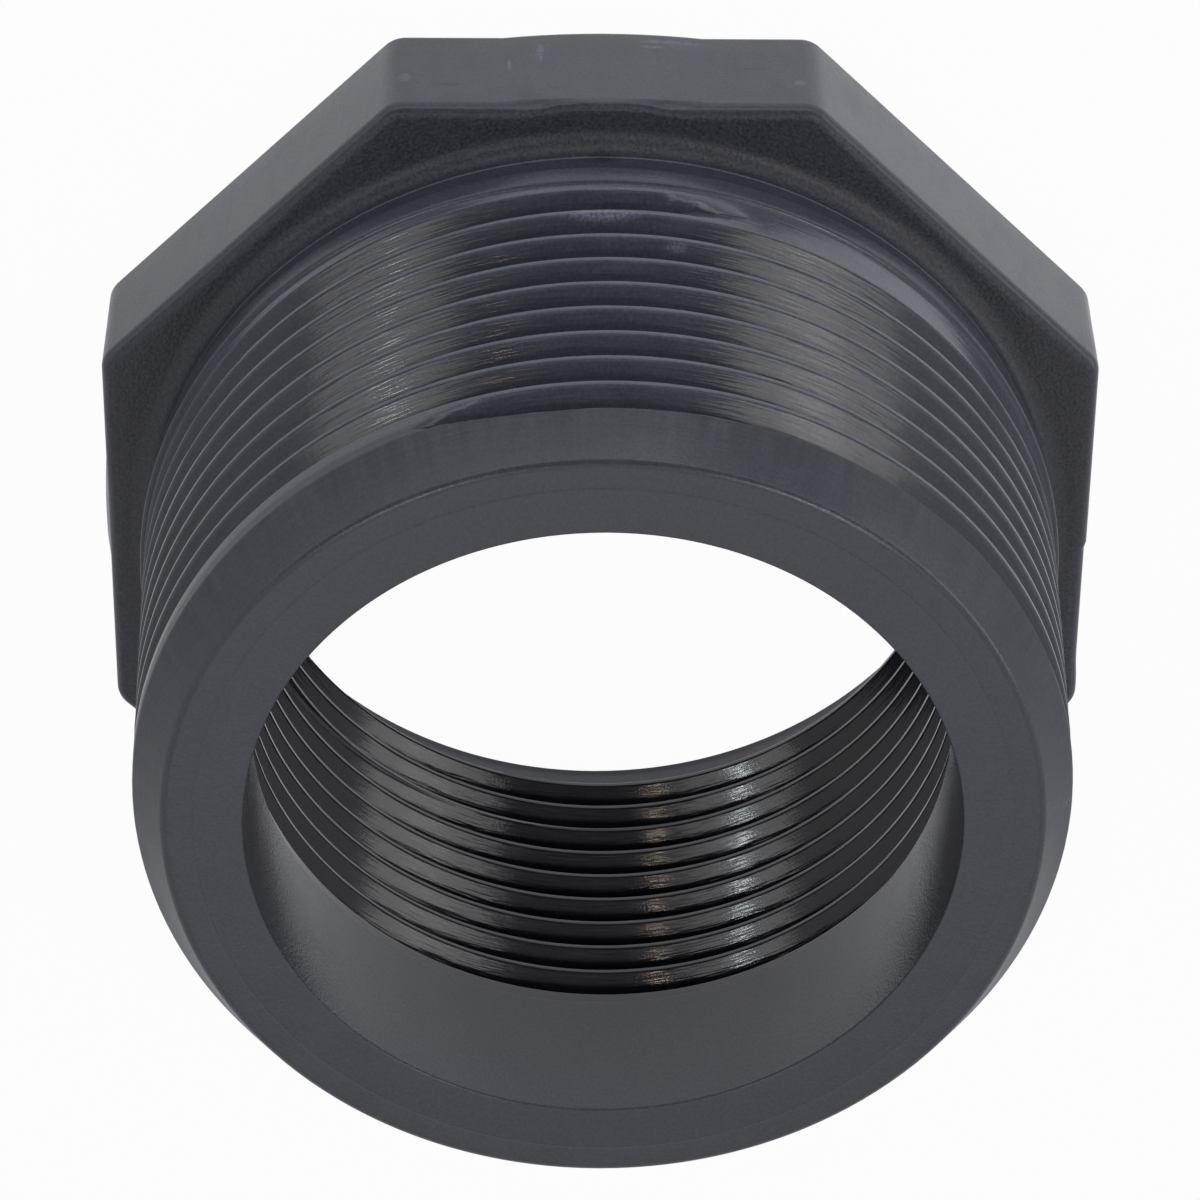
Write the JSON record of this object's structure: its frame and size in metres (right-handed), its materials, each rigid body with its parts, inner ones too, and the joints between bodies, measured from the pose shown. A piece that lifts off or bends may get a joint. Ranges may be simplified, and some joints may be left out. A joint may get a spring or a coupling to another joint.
{
  "type": "threaded reducing bushing",
  "caption": "Moulded pipe bushing with an octagonal wrench head, a male taper thread outside and a smaller female taper thread inside.",
  "frame": {"origin": "centre of the mouth in the head's flat back face, on the axis of the bore", "axes": "+Z along the axis, from the head to the male end; -Y through the middle of the head flat that carries the gate pad"},
  "size_m": [0.0533, 0.0533, 0.0344],
  "materials": {
    "body": "dark blue-grey rigid plastic, satin as moulded, with faint flow marks"
  },
  "bodies": {
    "root": {"bushing": "body"}
  },
  "joints": []
}
